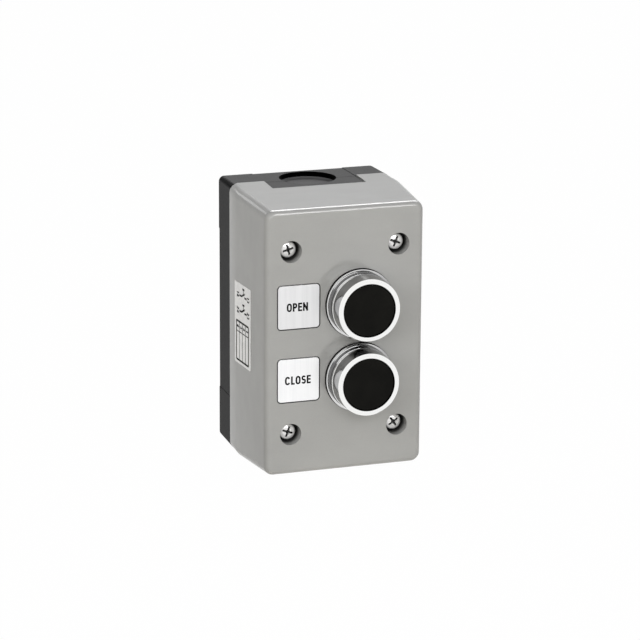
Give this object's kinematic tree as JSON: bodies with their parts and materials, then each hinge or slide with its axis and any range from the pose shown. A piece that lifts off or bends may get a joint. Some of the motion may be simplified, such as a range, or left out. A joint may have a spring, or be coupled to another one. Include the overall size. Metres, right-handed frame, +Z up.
{
  "type": "pushbutton control station",
  "caption": "Surface mounted control station: drafted grey cover on a black base, two flush black pushbuttons in bright bezels, legend plates beside them.",
  "frame": {"origin": "centre of the rear face of the base, which lies against the wall", "axes": "+X to the right seen from the front, +Y into the wall, +Z up. The buttons face -Y."},
  "size_m": [0.0696, 0.0722, 0.111],
  "materials": {
    "cover_metal": "satin grey paint on die-cast metal",
    "base_plastic": "fine matt texture, black",
    "seal_rubber": "matt black",
    "screw_steel": "bright zinc plated",
    "insert_brass": "turned",
    "label_film": "pale printed film",
    "legend_aluminium": "brushed, vertical grain",
    "bezel_chrome": "satin chrome",
    "operator_metal": "plain die-cast",
    "cap_plastic": "matt black",
    "slide_plastic": "off-white, slippery",
    "spring_steel": "bright drawn wire and strip",
    "block_plastic": "dark grey moulding",
    "contact_brass": "stamped strip with bright contact discs"
  },
  "bodies": {
    "enclosure": {"base": "base_plastic", "cover": "cover_metal", "cover_seal": "seal_rubber", "cover_screws": "screw_steel", "screw_washers": "seal_rubber", "screw_inserts": "insert_brass", "rating_label": "label_film", "open_legend_plate": "legend_aluminium", "close_legend_plate": "legend_aluminium", "open_bezel": "bezel_chrome", "open_barrel": "operator_metal", "open_panel_seal": "seal_rubber", "open_lock_nut": "operator_metal", "open_return_spring": "spring_steel", "open_collar": "block_plastic", "open_collar_screw": "screw_steel", "open_contact_housing": "block_plastic", "open_contact_lid": "block_plastic", "open_carriage_spring": "spring_steel", "open_fixed_contacts": "contact_brass", "open_terminal_clamps": "screw_steel", "open_terminal_screws": "screw_steel", "close_bezel": "bezel_chrome", "close_barrel": "operator_metal", "close_panel_seal": "seal_rubber", "close_lock_nut": "operator_metal", "close_return_spring": "spring_steel", "close_collar": "block_plastic", "close_collar_screw": "screw_steel", "close_contact_housing": "block_plastic", "close_contact_lid": "block_plastic", "close_carriage_spring": "spring_steel", "close_fixed_contacts": "contact_brass", "close_terminal_clamps": "screw_steel", "close_terminal_screws": "screw_steel"},
    "open_button": {"open_cap": "cap_plastic", "open_stem": "slide_plastic", "open_retaining_clip": "spring_steel"},
    "open_carriage": {"open_contact_carriage": "slide_plastic", "open_contact_bridge": "contact_brass", "open_overtravel_spring": "spring_steel"},
    "close_button": {"close_cap": "cap_plastic", "close_stem": "slide_plastic", "close_retaining_clip": "spring_steel"},
    "close_carriage": {"close_contact_carriage": "slide_plastic", "close_contact_bridge": "contact_brass", "close_overtravel_spring": "spring_steel"}
  },
  "joints": [
    {"name": "open_press", "type": "slide", "parent": "enclosure", "child": "open_button", "axis": [0, 1, 0], "range_m": [0, 0.004], "stiffness_N_per_m": 600, "springref_m": -0.003, "deforming": ["open_return_spring"]},
    {"name": "open_contact_travel", "type": "slide", "parent": "enclosure", "child": "open_carriage", "axis": [0, 1, 0], "range_m": [0, 0.004], "stiffness_N_per_m": 300, "springref_m": -0.003, "deforming": ["open_carriage_spring"]},
    {"name": "close_press", "type": "slide", "parent": "enclosure", "child": "close_button", "axis": [0, 1, 0], "range_m": [0, 0.004], "stiffness_N_per_m": 600, "springref_m": -0.003, "deforming": ["close_return_spring"]},
    {"name": "close_contact_travel", "type": "slide", "parent": "enclosure", "child": "close_carriage", "axis": [0, 1, 0], "range_m": [0, 0.004], "stiffness_N_per_m": 300, "springref_m": -0.003, "deforming": ["close_carriage_spring"]}
  ],
  "couplings": [
    {"joint": "open_contact_travel", "follows": "open_press", "ratio": 1},
    {"joint": "close_contact_travel", "follows": "close_press", "ratio": 1}
  ]
}
